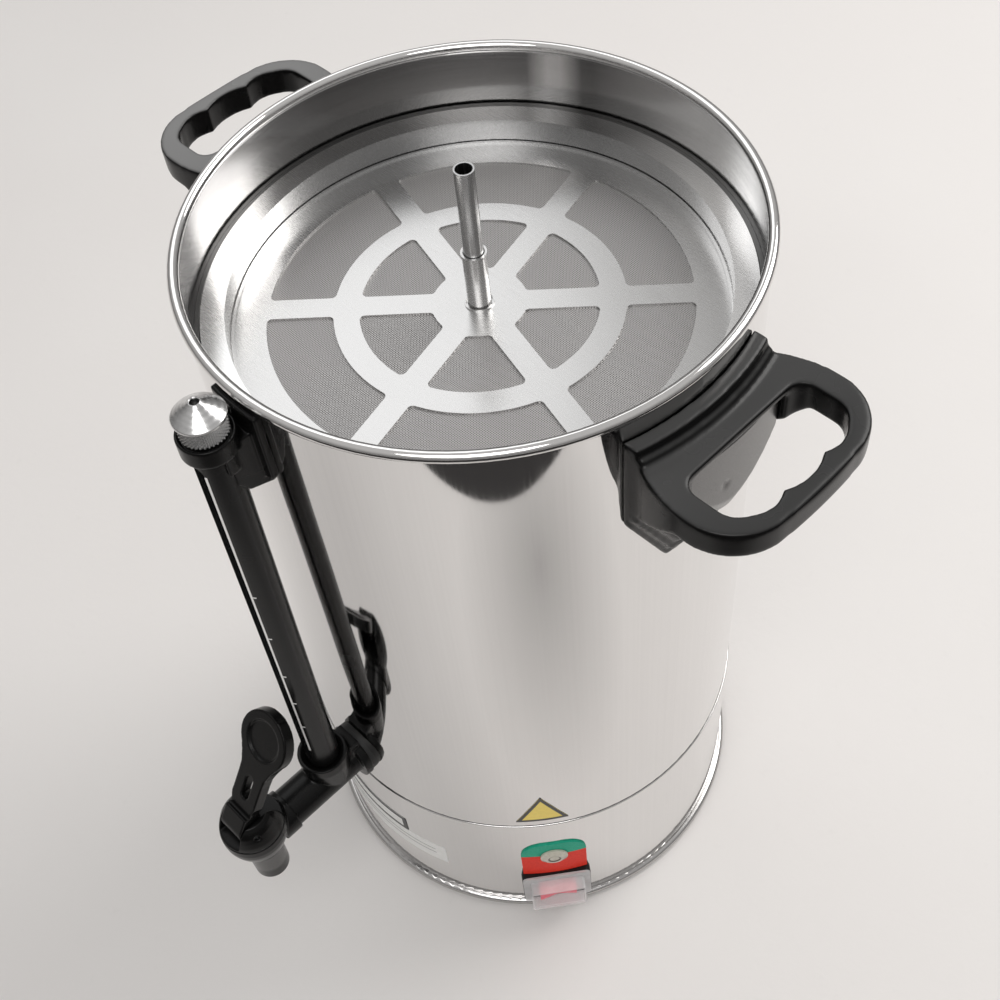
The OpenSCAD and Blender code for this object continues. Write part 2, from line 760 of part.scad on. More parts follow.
module side_sticker() {
    color(white) rotate([0, 0, -112]) rotate_extrude(angle = 32.2, $fn = 180)
        translate([body_r, 63.4]) square([0.2, 14.8]);
}

module hot_sticker() {
    color([0.90, 0.78, 0.20]) intersection() {
        ring(body_r, body_r + 0.2, 115, 150);
        radial_slab(-39.6, 100, 140) polygon([[-13.8, 119.7], [13.8, 119.7], [13.8, 120.9],
            [0.7, 146.9], [-0.7, 146.9], [-13.8, 120.9]]);
    }
}

tank();
tank_floor();
base_skirt();
base_plate();
foot(0);  // foot_1
foot(1);  // foot_2
foot(2);  // foot_3
foot(3);  // foot_4
support_post(0);  // support_post_1
support_post(1);  // support_post_2
support_post(2);  // support_post_3
base_screws();
handle_left();
handle_right();
handle_screws_left();
handle_screws_right();
gauge_bracket();
bracket_screw();
gauge_cap();
gauge_washer();
gauge_tube();
gauge_guard();
gauge_seal();
tap_tee();
tap_washer();
tap_inner_washer();
tap_nut();
tap_body();
tap_nozzle();
tap_bonnet();
tap_lever();
tap_pin();
tap_stem();
tap_seat_cup();
switch_bezel();
switch_boot();
switch_rocker();
switch_housing();
switch_pin();
indicator_plate();
indicator_lens();
indicator_lamp();
riser_tube();
riser_collar();
pump_bell();
pump_valve();
basket();
cover_frame();
cover_mesh();
heater_plate();
heating_element();
thermostat();
thermal_cutout();
terminal_block();
power_inlet();
inlet_pins();
rating_label();
side_sticker();
hot_sticker();
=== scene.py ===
"""Looks of the electric coffee percolator urn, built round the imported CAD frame.

Metres, in the frame of the part: the tank axis is +Z, the tap and gauge point along -Y, and the two
handles along +X and -X.
"""
import math

import bpy
from mathutils import Matrix, Vector


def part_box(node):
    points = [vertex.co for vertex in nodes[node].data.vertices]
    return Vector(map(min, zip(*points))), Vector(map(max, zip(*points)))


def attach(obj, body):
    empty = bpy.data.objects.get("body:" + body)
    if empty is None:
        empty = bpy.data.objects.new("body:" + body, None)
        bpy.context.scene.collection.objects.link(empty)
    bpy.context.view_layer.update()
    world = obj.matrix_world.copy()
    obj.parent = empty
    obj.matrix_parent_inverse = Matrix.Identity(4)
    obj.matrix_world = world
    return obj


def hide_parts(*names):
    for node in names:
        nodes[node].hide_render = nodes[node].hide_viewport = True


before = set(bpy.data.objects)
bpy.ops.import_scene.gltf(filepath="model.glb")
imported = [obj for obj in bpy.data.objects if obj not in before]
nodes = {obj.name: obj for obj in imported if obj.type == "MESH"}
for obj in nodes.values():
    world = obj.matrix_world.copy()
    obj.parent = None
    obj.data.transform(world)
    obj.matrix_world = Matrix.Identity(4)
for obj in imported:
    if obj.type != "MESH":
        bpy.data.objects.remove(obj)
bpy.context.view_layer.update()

MM = 0.001

# ---- dimensions read from the frame ----

guard_low, guard_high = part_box("gauge_guard")
cap_low, cap_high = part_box("gauge_cap")
flange_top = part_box("basket")[1].z
rim_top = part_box("tank")[1].z
cap_y = (cap_low.y + cap_high.y) / 2
guard_radius = (guard_high.x - guard_low.x) / 2

# ---- dimensions that the solids were designed with ----

BODY_RADIUS = 125.0 * MM                # the outer face of the tank and the skirt
INNER_RADIUS = 124.2 * MM               # the tank's inner face
SEAM_HEIGHT = 112.5 * MM                # the joint between the skirt and the tank
SWITCH_TURN = math.radians(-37.7)       # azimuth of the switch, and of the lamp above it
SWITCH_HEIGHT = 28.8 * MM
LAMP_HEIGHT = 71.3 * MM
STICKER_TURN = math.radians(-39.6)      # azimuth of the triangle sticker
gauge_foot = Vector((0.0, -145.8 * MM, 155.0 * MM))     # the gauge's axis, where its tube starts
gauge_turn = Matrix.Rotation(math.radians(-0.85), 3, "X")

# ---- where one look gives way to another ----

INSIDE_BELOW = 124.35 * MM              # a radius within the tank's sheet, nearer its inner face
FOOT_SHADE_BELOW = 6.8 * MM              # just above the bead at the foot; below it the steel is darkened as painted shade
NOZZLE_DARK_BELOW = 117 * MM
COS_45 = 0.7071


def on_gauge(point):
    """Places a point that was drawn round the Z axis on the gauge's leaning axis."""
    x, y, z = point
    return tuple(gauge_foot + gauge_turn @ Vector((x, y, z - gauge_foot.z)))


# ---- material helpers ----

class Graph:
    """A material's node tree, with short calls for the nodes that this scene uses."""

    def __init__(self, name):
        self.material = bpy.data.materials.new(name)
        self.material.use_nodes = True
        self.tree = self.material.node_tree
        self.shader = self.tree.nodes["Principled BSDF"]

    def add(self, kind, inputs=None, **settings):
        made = self.tree.nodes.new("ShaderNode" + kind)
        for key, value in settings.items():
            setattr(made, key, value)
        for key, value in (inputs or {}).items():
            self.set(made.inputs[key], value)
        return made

    def set(self, socket, value):
        """Links an output to the socket, or stores a plain value in it."""
        if isinstance(value, bpy.types.NodeSocket):
            self.tree.links.new(value, socket)
        else:
            socket.default_value = value

    def surface(self, **values):
        """Sets the shader's sockets, by their names with underscores for spaces."""
        for key, value in values.items():
            self.set(self.shader.inputs[key.replace("_", " ")], value)
        return self

    def place(self):
        return self.add("TexCoord").outputs["Object"]

    def math(self, operation, a, b=0.0):
        return self.add("Math", {0: a, 1: b}, operation=operation).outputs[0]

    def split(self):
        """The x, y and z of the surface point, in metres."""
        xyz = self.add("SeparateXYZ", {0: self.place()})
        return xyz.outputs[0], xyz.outputs[1], xyz.outputs[2]

    def radius(self, x, y):
        return self.math("SQRT", self.math("ADD", self.math("MULTIPLY", x, x), self.math("MULTIPLY", y, y)))

    def stretched(self, scale):
        return self.add("Mapping", {"Vector": self.place(), "Scale": scale}).outputs[0]

    def noise(self, scale, detail=3.0, vector=None, roughness=0.5):
        inputs = {"Scale": scale, "Detail": detail, "Roughness": roughness}
        inputs["Vector"] = vector if vector is not None else self.place()
        return self.add("TexNoise", inputs).outputs["Fac"]

    def between(self, value, low, high, out_low=0.0, out_high=1.0):
        """Carries low..high over to out_low..out_high, and holds the ends beyond them."""
        inputs = {"Value": value, "From Min": low, "From Max": high, "To Min": out_low, "To Max": out_high}
        return self.add("MapRange", inputs, clamp=True).outputs["Result"]

    def mix(self, share, a, b):
        """Mixes two colours."""
        made = self.add("Mix", data_type="RGBA")
        self.set(made.inputs[0], share)
        self.set(made.inputs[6], a)
        self.set(made.inputs[7], b)
        return made.outputs[2]

    def bump(self, height, distance):
        made = self.add("Bump", {"Height": height, "Distance": distance, "Strength": 1.0})
        self.set(self.shader.inputs["Normal"], made.outputs[0])
        return self


def grey(value, warm=0.0):
    """A grey, with its red raised and its blue lowered by a share."""
    return (value * (1 + warm), value, value * (1 - warm), 1.0)


# ---- materials ----

def mirror_steel():
    """Polished on the outside and the rim's bead, and duller and brushed inside, where the colour is painted
    shade and painted highlight.
    """
    g = Graph("mirror_steel")
    x, y, z = g.split()
    radius = g.radius(x, y)
    inside = g.between(radius, INSIDE_BELOW - 0.05 * MM, INSIDE_BELOW, 1.0, 0.0)
    below_bead = g.between(z, rim_top - 6.2 * MM, rim_top - 5.4 * MM, 1.0, 0.0)
    brushed = g.math("MULTIPLY", inside, below_bead)
    streaks = g.noise(1.0, 3.0, g.stretched((24, 24, 1500)), 0.5)
    upright = g.noise(1.0, 3.0, g.stretched((900, 900, 3)), 0.55)
    waves = g.noise(9.0, 1.5)
    polished = g.mix(g.between(upright, 0.3, 0.7), (0.775, 0.765, 0.757, 1), (0.80, 0.79, 0.782, 1))
    # painted shade: the polished steel darkens just above the foot's bead, where it also grows rougher
    foot_shade_mask = g.between(z, FOOT_SHADE_BELOW, FOOT_SHADE_BELOW + 1.2 * MM, 1.0, 0.0)
    polished = g.mix(foot_shade_mask, polished, (0.52, 0.51, 0.505, 1))
    height = g.between(z, flange_top, rim_top - 8 * MM)
    # painted shade darkens the inner wall, most on the far side and higher up, with painted light toward the
    # +X+Y end and one painted upright highlight band in it
    highlight_band = 0.037
    along = g.math("MULTIPLY", g.math("ADD", x, y), COS_45)
    far = g.math("MULTIPLY", g.math("SUBTRACT", y, x), COS_45)
    pale = g.mix(height, (0.95, 0.94, 0.93, 1), (0.92, 0.91, 0.90, 1))
    middling = g.mix(height, (0.36, 0.355, 0.35, 1), (0.33, 0.325, 0.325, 1))
    deep = g.mix(height, (0.31, 0.305, 0.30, 1), (0.17, 0.167, 0.167, 1))
    painted_shade = g.mix(g.between(along, -0.105, -0.07), middling, deep)
    painted_shade = g.mix(g.between(along, 0.055, 0.1), painted_shade, pale)
    off_highlight_band = g.math("ABSOLUTE", g.math("SUBTRACT", along, highlight_band))
    painted_shade = g.mix(g.between(off_highlight_band, 0.003, 0.013, 0.9, 0.0), painted_shade, pale)
    shade = g.mix(g.between(far, 0.0, 0.03), middling, painted_shade)
    brushed_painted_shade = g.mix(g.between(streaks, 0.3, 0.7, 0.0, 0.2), shade, (0.40, 0.395, 0.395, 1))
    g.surface(Metallic=1.0, Base_Color=g.mix(brushed, polished, brushed_painted_shade))
    rough_foot = g.math("MULTIPLY", foot_shade_mask, 0.16)
    smooth_part = g.math("ADD", g.between(upright, 0.2, 0.8, 0.025, 0.06), rough_foot)
    dull_part = g.between(streaks, 0.2, 0.8, 0.12, 0.2)
    spread = g.add("Mix", data_type="FLOAT")
    g.set(spread.inputs[0], brushed)
    g.set(spread.inputs[2], smooth_part)
    g.set(spread.inputs[3], dull_part)
    g.surface(Roughness=spread.outputs[0])
    relief = g.add("Mix", data_type="FLOAT")
    g.set(relief.inputs[0], brushed)
    g.set(relief.inputs[2], waves)
    g.set(relief.inputs[3], g.math("MULTIPLY", streaks, 0.006))
    return g.bump(relief.outputs[0], 0.35 * MM).material


def satin_steel(name, tone, low=0.22, high=0.30, far_shade_tone=None, foot=None):
    """Fine straight grain along X, with painted shade darkening it toward the far side, or darker below a
    foot height, when asked.
    """
    g = Graph(name)
    grain = g.noise(1.0, 4.0, g.stretched((60, 3600, 3600)), 0.5)
    cloud = g.noise(14.0, 2.0)
    light = grey(tone, 0.006)
    dark = grey(tone * 0.965, 0.006)
    tint = g.mix(g.between(grain, 0.3, 0.7), dark, light)
    x, y, z = g.split()
    if far_shade_tone:
        # painted shade: the colour darkens toward the far side
        far = g.math("MULTIPLY", g.math("SUBTRACT", y, x), COS_45)
        tint = g.mix(g.between(far, 0.035, 0.095), tint, grey(far_shade_tone))
    if foot:
        tint = g.mix(g.between(z, foot, foot + 3 * MM, 1.0, 0.0), tint, grey(tone * 0.18, 0.04))
    g.surface(Metallic=1.0, Base_Color=g.mix(g.between(cloud, 0.35, 0.75, 0.0, 0.35), tint, dark))
    g.surface(Roughness=g.between(grain, 0.25, 0.75, low, high))
    return g.bump(grain, 0.0014 * MM).material


def drawn_steel(name, tone, rough):
    """Drawn tube, with faint upright die lines."""
    g = Graph(name)
    lines = g.noise(1.0, 3.0, g.stretched((1400, 1400, 5)), 0.5)
    g.surface(Metallic=1.0, Base_Color=g.mix(g.between(lines, 0.3, 0.7), grey(tone * 0.8), grey(tone)))
    g.surface(Roughness=g.between(lines, 0.3, 0.7, rough, rough + 0.08))
    return g.bump(lines, 0.002 * MM).material


def bare_steel(name, tone, rough, spots=60.0):
    """Plain sheet or turned steel with a soft mottled finish."""
    g = Graph(name)
    mottle = g.noise(spots, 4.0)
    fine = g.noise(2500.0, 2.0)
    g.surface(Metallic=1.0, Base_Color=g.mix(g.between(mottle, 0.3, 0.7), grey(tone * 0.85), grey(tone)))
    g.surface(Roughness=g.between(mottle, 0.3, 0.7, rough, rough + 0.14))
    return g.bump(fine, 0.01 * MM).material


def turned_steel():
    """Fine turning lines round the gauge cap's own axis."""
    g = Graph("turned_steel")
    x, y, z = g.split()
    radius = g.radius(x, g.math("SUBTRACT", y, cap_y))
    line_pitch = 0.42 * MM
    rings = g.math("SINE", g.math("MULTIPLY", g.math("ADD", radius, z), 2 * math.pi / line_pitch))
    mottle = g.noise(300.0, 3.0)
    g.surface(Metallic=1.0, Base_Color=g.mix(g.between(mottle, 0.3, 0.7), grey(0.62), grey(0.74)))
    g.surface(Roughness=g.between(rings, -1, 1, 0.17, 0.27))
    return g.bump(rings, 0.01 * MM).material


def woven_steel():
    """The filter's plain weave of wires that pass over and under each other."""
    g = Graph("woven_steel")
    x, y, _ = g.split()
    two_wires = 1.8 * MM
    turn = 2 * math.pi / two_wires
    warp = g.math("SINE", g.math("MULTIPLY", x, turn))
    weft = g.math("SINE", g.math("MULTIPLY", y, turn))
    over = g.math("MULTIPLY", warp, weft)
    wires = g.math("MAXIMUM", g.math("ABSOLUTE", warp), g.math("ABSOLUTE", weft))
    gap = g.between(wires, 0.55, 0.9)
    uneven = g.noise(26.0, 3.0, g.stretched((1, 3.5, 1)))
    tint = g.mix(gap, (0.08, 0.078, 0.078, 1), (0.46, 0.45, 0.445, 1))
    worn = g.mix(g.between(uneven, 0.35, 0.7, 0.0, 0.4), tint, (0.34, 0.335, 0.335, 1))
    g.surface(Metallic=0.85, Base_Color=worn, Roughness=g.between(over, -1, 1, 0.36, 0.55))
    return g.bump(g.math("MULTIPLY", wires, g.between(over, -1, 1, 0.5, 1.0)), 0.12 * MM).material


def black_plastic(name, tone=0.0035, rough=0.2, grain=0.008, painted_sheen=0.0):
    """Moulded plastic: very fine grain, uneven gloss, and a painted grey sheen on the faces that look up,
    stronger toward -X.
    """
    g = Graph(name)
    fine = g.noise(1900.0, 3.0)
    patches = g.noise(38.0, 3.0)
    tint = g.mix(g.between(patches, 0.3, 0.7), grey(tone), grey(tone * 1.5))
    if painted_sheen:
        x, _, _ = g.split()
        # painted sheen: faces that look up are lighter, about five times more at -X than at +X
        facing = g.add("SeparateXYZ", {0: g.add("NewGeometry").outputs["Normal"]}).outputs[2]
        sheen_level = g.between(x, -0.18, 0.18, painted_sheen * 5.2, painted_sheen)
        share = g.math("POWER", g.between(facing, 0.55, 1.0), 1.5)
        sheen_colour = g.add("CombineColor", {0: sheen_level, 1: sheen_level, 2: sheen_level}).outputs[0]
        tint = g.mix(share, tint, sheen_colour)
    g.surface(Base_Color=tint, Specular_IOR_Level=0.2)
    g.surface(Roughness=g.between(patches, 0.3, 0.75, rough, rough + 0.1))
    return g.bump(fine, grain * MM).material


def soft_material(name, colour, rough, grain=0.03):
    """Rubber and silicone."""
    g = Graph(name)
    fine = g.noise(900.0, 4.0)
    darker = tuple(0.75 * c for c in colour[:3]) + (1.0,)
    g.surface(Base_Color=g.mix(g.between(g.noise(120.0), 0.3, 0.7), darker, colour), Roughness=rough)
    return g.bump(fine, grain * MM).material


def from_switch(g, height):
    """How far a point lies sideways from the switch's centre line, and above or below a height."""
    x, y, z = g.split()
    along_y = g.math("MULTIPLY", y, math.cos(SWITCH_TURN))
    along_x = g.math("MULTIPLY", x, math.sin(SWITCH_TURN))
    sideways = g.math("SUBTRACT", along_y, along_x)
    return g.math("ABSOLUTE", sideways), g.math("ABSOLUTE", g.math("SUBTRACT", z, height))


def clear_boot():
    """A clear moulded boot, milky at its thick edges."""
    g = Graph("boot_clear")
    side, rise = from_switch(g, SWITCH_HEIGHT)
    side_edge = g.between(side, 14.4 * MM, 15.6 * MM)
    end_edge = g.between(rise, 10.2 * MM, 11.2 * MM)
    edge = g.math("MAXIMUM", side_edge, end_edge)
    haze = g.noise(160.0, 2.0)
    alpha = g.math("ADD", g.math("MULTIPLY", edge, 0.48), g.between(haze, 0.3, 0.7, 0.05, 0.11))
    g.surface(Base_Color=(0.95, 0.95, 0.96, 1), Roughness=g.between(haze, 0.3, 0.7, 0.06, 0.14))
    g.surface(Alpha=alpha, IOR=1.3)
    return g.bump(haze, 0.02 * MM).material


def lamp_lens():
    """The indicator's lens: pale, with a painted shade line round the rim of its hollow centre."""
    g = Graph("lamp_clear")
    side, rise = from_switch(g, LAMP_HEIGHT)
    away = g.radius(side, rise)
    haze = g.noise(400.0, 2.0)
    hollow_radius = 3.3 * MM
    off_shade_line = g.math("ABSOLUTE", g.math("SUBTRACT", away, hollow_radius))
    pale = g.mix(g.between(haze, 0.3, 0.7), (0.58, 0.55, 0.46, 1), (0.70, 0.67, 0.58, 1))
    # painted shade: a dark line where the hollow's edge falls in shade
    g.surface(Base_Color=g.mix(g.between(off_shade_line, 0.2 * MM, 0.7 * MM), (0.09, 0.08, 0.07, 1), pale))
    g.surface(Roughness=g.between(haze, 0.3, 0.7, 0.1, 0.18), Alpha=0.9, IOR=1.46)
    return g.bump(haze, 0.01 * MM).material


def clear_plastic(name, tint, alpha, rough):
    g = Graph(name)
    haze = g.noise(220.0, 2.0)
    g.surface(Base_Color=tint, Roughness=g.between(haze, 0.3, 0.7, rough, rough + 0.1), Alpha=alpha, IOR=1.46)
    return g.bump(haze, 0.02 * MM).material


def red_plastic_painted_glow():
    g = Graph("red_plastic_painted_glow")
    cloud = g.noise(160.0, 2.0)
    g.surface(Base_Color=g.mix(g.between(cloud, 0.3, 0.7), (0.66, 0.03, 0.07, 1), (0.78, 0.05, 0.10, 1)))
    # painted glow: a faint red emission brightens the rocker
    g.surface(Roughness=0.3, Emission_Color=(0.9, 0.03, 0.10, 1), Emission_Strength=0.12)
    return g.bump(cloud, 0.01 * MM).material


def indicator_print():
    """Green over red, split just above the lamp's centre, with a slightly soft printed edge."""
    g = Graph("indicator_print")
    _, _, z = g.split()
    speckle = g.noise(700.0, 2.0)
    share = g.between(z, LAMP_HEIGHT + 0.3 * MM, LAMP_HEIGHT + 0.7 * MM)
    red = g.mix(g.between(speckle, 0.3, 0.7), (0.76, 0.030, 0.016, 1), (0.84, 0.042, 0.020, 1))
    green = g.mix(g.between(speckle, 0.3, 0.7), (0.012, 0.36, 0.23, 1), (0.022, 0.42, 0.27, 1))
    g.surface(Base_Color=g.mix(share, red, green), Roughness=0.5, Specular_IOR_Level=0.2)
    return g.bump(speckle, 0.004 * MM).material


def film(name, colour, rough=0.42):
    """Blank printed film."""
    g = Graph(name)
    fibre = g.noise(420.0, 3.0)
    darker = tuple(0.93 * c for c in colour[:3]) + (1.0,)
    g.surface(Base_Color=g.mix(g.between(fibre, 0.3, 0.7), darker, colour), Roughness=rough)
    return g.bump(fibre, 0.004 * MM).material


def floor_surface():
    """Pale, warm grey board with a faint mottle."""
    g = Graph("floor_surface")
    cloud = g.noise(2.2, 3.0)
    specks = g.noise(85.0, 5.0, None, 0.65)
    tint = g.mix(g.between(cloud, 0.3, 0.7), (0.79, 0.765, 0.75, 1), (0.82, 0.80, 0.785, 1))
    worn = g.mix(g.between(specks, 0.62, 0.8, 0.0, 0.14), tint, (0.62, 0.60, 0.585, 1))
    g.surface(Base_Color=worn, Roughness=0.85, Specular_IOR_Level=0.2)
    return g.bump(specks, 0.25 * MM).material


steel = mirror_steel()
# the basket and the cover are darkened toward the far side as painted shade
basket_satin = satin_steel("basket_satin", 0.86, far_shade_tone=0.31)
tube_drawn = drawn_steel("tube_drawn", 0.50, 0.2)
floor_satin = satin_steel("floor_satin", 0.7, 0.26, 0.36)
cover_satin = satin_steel("cover_satin", 0.60, far_shade_tone=0.56)
nozzle_steel = satin_steel("nozzle_steel", 0.12, foot=NOZZLE_DARK_BELOW)
# painted shade: the ledge's steel is dark for the shade under the basket's flange
shaded_ledge_steel = satin_steel("shaded_ledge_steel", 0.16, 0.3, 0.4)
shield_steel = satin_steel("shield_steel", 0.20, 0.24, 0.34)
sheet_steel = bare_steel("sheet_steel", 0.5, 0.35)
pin_steel = bare_steel("pin_steel", 0.62, 0.28, 200.0)
dark_sheath = bare_steel("dark_sheath", 0.2, 0.45, 90.0)
cast_metal = bare_steel("cast_metal", 0.7, 0.4, 140.0)
turned = turned_steel()
weave = woven_steel()
black = black_plastic("black_plastic")
# the handles get a painted sheen on their upper faces
handle_black = black_plastic("handle_black", painted_sheen=0.035)
guard_black = black_plastic("guard_black", 0.006, 0.2, 0.004)
switch_black = black_plastic("switch_black", 0.012, 0.4, 0.03)
rubber = soft_material("rubber", (0.035, 0.035, 0.036, 1), 0.7)
seal = soft_material("seal", (0.02, 0.02, 0.02, 1), 0.55)
silicone = soft_material("silicone", (0.72, 0.72, 0.69, 1), 0.45, 0.01)
boot_clear = clear_boot()
tube_clear = clear_plastic("tube_clear", (0.90, 0.93, 0.94, 1), 0.25, 0.03)
lamp_clear = lamp_lens()
red = red_plastic_painted_glow()
indicator = indicator_print()
pale_film = film("pale_film", (0.90, 0.90, 0.885, 1))
grey_film = film("grey_film", (0.30, 0.30, 0.30, 1))
dark_film = film("dark_film", (0.05, 0.05, 0.052, 1))
yellow_film = film("yellow_film", (0.95, 0.74, 0.16, 1), 0.45)
brass = bare_steel("brass", 0.6, 0.3)
terminal = film("terminal", (0.82, 0.81, 0.78, 1), 0.5)

LOOKS = {
    steel: ["tank", "base_skirt"],
    basket_satin: ["basket"],
    floor_satin: ["tank_floor"],
    cover_satin: ["cover_frame"],
    nozzle_steel: ["tap_nozzle"],
    tube_drawn: ["riser_tube", "riser_collar", "pump_bell", "pump_valve"],
    sheet_steel: ["base_plate", "thermostat", "thermal_cutout"],
    pin_steel: ["support_post_1", "support_post_2", "support_post_3", "base_screws",
                "handle_screws_left", "handle_screws_right", "bracket_screw", "tap_nut",
                "tap_pin", "tap_stem", "switch_pin"],
    dark_sheath: ["heating_element"],
    cast_metal: ["heater_plate"],
    turned: ["gauge_cap"],
    weave: ["cover_mesh"],
    black: ["gauge_bracket", "tap_tee", "tap_body", "tap_bonnet", "tap_lever"],
    handle_black: ["handle_left", "handle_right"],
    guard_black: ["gauge_guard"],
    switch_black: ["switch_bezel", "switch_housing", "indicator_lamp", "power_inlet"],
    rubber: ["foot_1", "foot_2", "foot_3", "foot_4"],
    seal: ["gauge_washer", "tap_washer"],
    silicone: ["gauge_seal", "tap_inner_washer", "tap_seat_cup"],
    boot_clear: ["switch_boot"],
    tube_clear: ["gauge_tube"],
    lamp_clear: ["indicator_lens"],
    red: ["switch_rocker"],
    indicator: ["indicator_plate"],
    pale_film: ["rating_label", "side_sticker"],
    yellow_film: ["hot_sticker"],
    brass: ["inlet_pins"],
    terminal: ["terminal_block"],
}


def paint(piece, material):
    piece.data.materials.clear()
    piece.data.materials.append(material)


for material, names in LOOKS.items():
    for name in names:
        paint(nodes[name], material)


# ---- moulded parts: edges rounded by a fine remesh ----

def soften(name, voxel, passes):
    """Rounds a moulded part's sharp edges over about two voxels."""
    piece = nodes[name]
    remesh = piece.modifiers.new("fine_skin", "REMESH")
    remesh.mode = "VOXEL"
    remesh.voxel_size = voxel
    remesh.use_smooth_shade = True
    smooth = piece.modifiers.new("rounded_edges", "SMOOTH")
    smooth.factor = 0.5
    smooth.iterations = passes


for name in ("handle_left", "handle_right"):
    soften(name, 0.8 * MM, 24)
for name in ("tap_tee", "gauge_bracket"):
    soften(name, 0.55 * MM, 6)
for name in ("tap_body", "tap_bonnet", "tap_lever"):
    soften(name, 0.45 * MM, 5)


# ---- small details that the solids leave plain ----

RING_STEPS = 192        # faces round the tank in the seam's ridge and joint line


def mesh_piece(name, body, material):
    """An empty mesh object for a detail, already on its body."""
    made = bpy.data.objects.new(name, bpy.data.meshes.new(name))
    bpy.context.scene.collection.objects.link(made)
    paint(made, material)
    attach(made, body)
    return made


def fill(piece, verts, faces, smooth=True):
    piece.data.from_pydata(verts, [], faces)
    piece.data.validate()
    piece.data.update()
    for face in piece.data.polygons:
        face.use_smooth = smooth


def curved_box(az0, az1, z0, z1, r0, r1, steps):
    """A closed block bent round the Z axis between two azimuths in radians."""
    verts = []
    for k in range(steps + 1):
        a = az0 + (az1 - az0) * k / steps
        for r, z in ((r0, z0), (r1, z0), (r1, z1), (r0, z1)):
            verts.append((r * math.cos(a), r * math.sin(a), z))
    faces = [(0, 1, 2, 3), tuple(4 * steps + i for i in (3, 2, 1, 0))]
    for k in range(steps):
        a, b = 4 * k, 4 * (k + 1)
        for i in range(4):
            j = (i + 1) % 4
            faces.append((a + i, b + i, b + j, a + j))
    return verts, faces


def joined(blocks):
    verts, faces = [], []
    for block_verts, block_faces in blocks:
        start = len(verts)
        verts += block_verts
        faces += [tuple(start + i for i in face) for face in block_faces]
    return verts, faces


def turned_ring(profile, steps):
    """A closed ring round the Z axis, from the (radius, height) points of its section."""
    verts, faces = [], []
    n = len(profile)
    for k in range(steps):
        a = 2 * math.pi * k / steps
        verts += [(r * math.cos(a), r * math.sin(a), z) for r, z in profile]
        here, there = k * n, ((k + 1) % steps) * n
        for i in range(n):
            j = (i + 1) % n
            faces.append((here + i, there + i, there + j, here + j))
    return verts, faces


def gauge_scale():
    """The white line beside the guard's slot, with a few graduations."""
    low, high = 0.186, 0.4135
    inner, outer = guard_radius - 0.02 * MM, guard_radius + 0.08 * MM
    line_start = math.radians(-67.5)
    line_end, mark_end = line_start + 0.13, line_start + 0.32
    half_mark = 0.4 * MM
    blocks = [curved_box(line_start, line_end, low, high, inner, outer, 2)]
    for z in (0.212, 0.236, 0.262, 0.296, 0.330):
        blocks.append(curved_box(line_end, mark_end, z - half_mark, z + half_mark, inner, outer, 3))
    verts, faces = joined(blocks)
    piece = mesh_piece("gauge_scale", "urn", pale_film)
    fill(piece, [on_gauge(v) for v in verts], faces, False)


def weld_seam():
    """The tank's upright weld on the inner wall, a low rounded ridge."""
    middle = math.radians(142)
    half = 0.008                        # in radians
    rise = 0.03 * MM
    verts, faces = [], []
    steps = 8
    for z in (flange_top + 0.3 * MM, rim_top - 6.4 * MM):
        for k in range(steps + 1):
            t = middle - half + 2 * half * k / steps
            r = INNER_RADIUS + 0.02 * MM - rise * math.sin(math.pi * k / steps)
            verts.append((r * math.cos(t), r * math.sin(t), z))
    row = steps + 1
    for k in range(steps):
        faces.append((k, k + 1, row + k + 1, row + k))
    faces.append(tuple(range(row)))
    faces.append(tuple(reversed(range(row, 2 * row))))
    faces.append((0, row, 2 * row - 1, row - 1))
    piece = mesh_piece("weld_seam", "urn", steel)
    fill(piece, verts, faces)


def basket_ledge():
    """The shallow ledge rolled into the tank wall, just under the basket's flange, in dark steel that paints
    the shade under the flange.
    """
    section_mm = ((124.12, 405.2), (122.4, 405.2), (121.8, 404.9), (121.8, 404.5), (124.12, 403.2))
    verts, faces = turned_ring([(r * MM, z * MM) for r, z in section_mm], 160)
    piece = mesh_piece("basket_ledge", "urn", shaded_ledge_steel)
    fill(piece, verts, faces, False)


def knurled_cap():
    """The gauge cap with a diamond-knurled side and a turned cone."""
    sides, knurls = 216, 36
    top, crown, low = 448.6 * MM, 441.6 * MM, 429.6 * MM
    vent = 1.9 * MM
    # radius, height and knurl depth of each ring, from the bore outward and down
    rings = [(vent, top - 12 * MM, 0), (vent, top - 0.5 * MM, 0), (vent + 0.35 * MM, top - 0.05 * MM, 0),
             (2.6 * MM, top - 0.55 * MM, 0), (6.6 * MM, top - 3.65 * MM, 0), (10.6 * MM, crown + 0.2 * MM, 0),
             (10.9 * MM, crown - 0.1 * MM, 0), (10.9 * MM, crown - 0.9 * MM, 0),
             (10.3 * MM, crown - 1.5 * MM, 0)]
    knurl_high, knurl_low, knurl_rows = crown - 1.8 * MM, low + 2.8 * MM, 9
    for k in range(knurl_rows + 1):
        rings.append((9.85 * MM, knurl_high - (knurl_high - knurl_low) * k / knurl_rows, 0.34 * MM))
    rings += [(9.5 * MM, low + 2.2 * MM, 0), (9.5 * MM, low, 0), (7.0 * MM, low, 0)]
    verts, faces = [], []
    for row, (r, z, depth) in enumerate(rings):
        for k in range(sides):
            a = 2 * math.pi * k / sides
            wave = depth * math.cos(a * knurls) * (1 if row % 2 else -1)
            verts.append(on_gauge(((r + wave) * math.cos(a), (r + wave) * math.sin(a), z)))
    for row in range(len(rings) - 1):
        for k in range(sides):
            j = (k + 1) % sides
            a, b = row * sides, (row + 1) * sides
            faces.append((a + j, a + k, b + k, b + j))
    faces.append(tuple(range(sides)))
    faces.append(tuple(reversed(range((len(rings) - 1) * sides, len(rings) * sides))))
    piece = mesh_piece("gauge_cap_knurled", "gauge_cap", turned)
    fill(piece, verts, faces, False)
    for face in piece.data.polygons:
        row = face.index // sides
        face.use_smooth = 2 <= row < 6
    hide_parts("gauge_cap")


